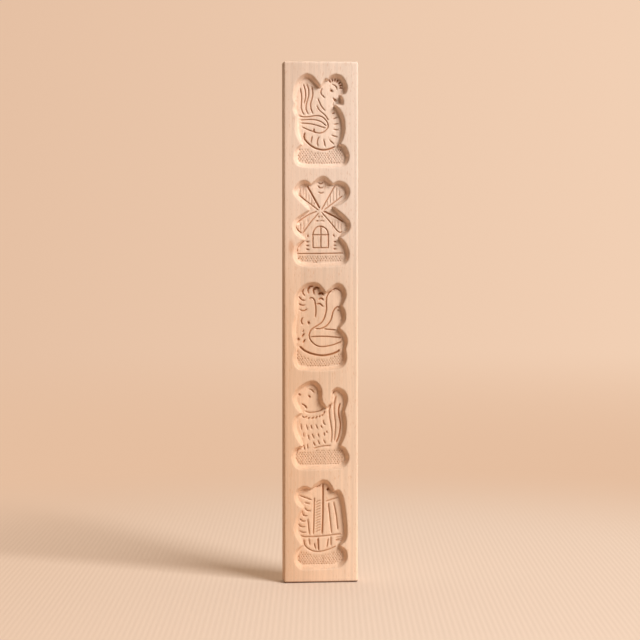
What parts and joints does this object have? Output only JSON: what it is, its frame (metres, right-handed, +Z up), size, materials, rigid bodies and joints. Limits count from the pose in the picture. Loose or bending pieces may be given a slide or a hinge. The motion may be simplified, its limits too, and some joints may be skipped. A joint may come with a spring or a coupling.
{
  "type": "speculaas board",
  "caption": "Tall, narrow wooden board with figures carved into its front, one above the other, for shaping spiced biscuit dough.",
  "frame": {"origin": "middle of the end that the board stands on", "axes": "+Z up the board's length, X across it, and the carved face looks towards -Y"},
  "size_m": [0.0716, 0.02, 0.5],
  "materials": {
    "beech": "bare sanded pale beech"
  },
  "bodies": {
    "root": {"board": "beech"}
  },
  "joints": []
}
